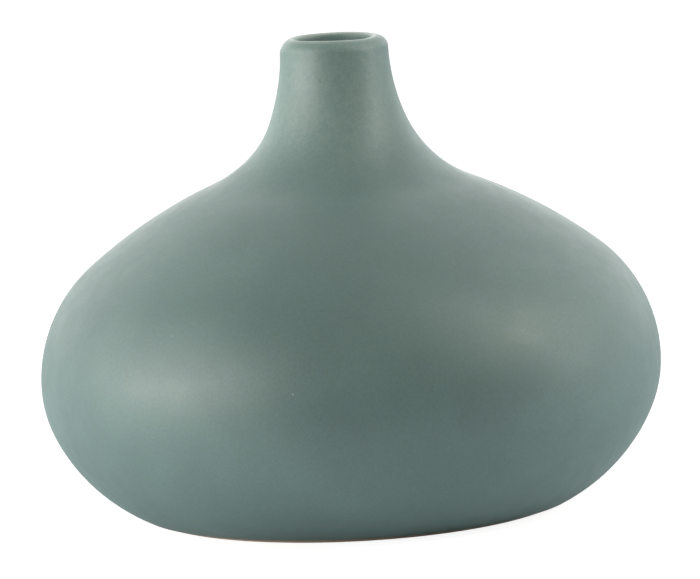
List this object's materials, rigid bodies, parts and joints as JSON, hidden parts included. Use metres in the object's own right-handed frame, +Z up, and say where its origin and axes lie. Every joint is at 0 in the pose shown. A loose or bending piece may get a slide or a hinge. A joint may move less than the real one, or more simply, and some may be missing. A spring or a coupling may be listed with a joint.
{
  "type": "pillow vase",
  "caption": "Squat round slip-cast vase with a narrow flared neck, satin-matt glazed outside over a bare foot ring, for one stem or a few.",
  "frame": {"origin": "centre of the foot ring, on the ground", "axes": "+Z up along the vase's axis; the picture looks along +Y, with +X to the right"},
  "size_m": [0.21, 0.21, 0.16],
  "materials": {
    "bare_stoneware": "bare fired stoneware, tan, fine and matt",
    "matt_green_glaze": "satin-matt grey-green glaze",
    "liner_glaze": "satin grey-green liner glaze"
  },
  "bodies": {
    "root": {"stoneware_body": "bare_stoneware", "outer_glaze": "matt_green_glaze", "inner_glaze": "liner_glaze", "base_glaze": "matt_green_glaze"}
  },
  "joints": []
}
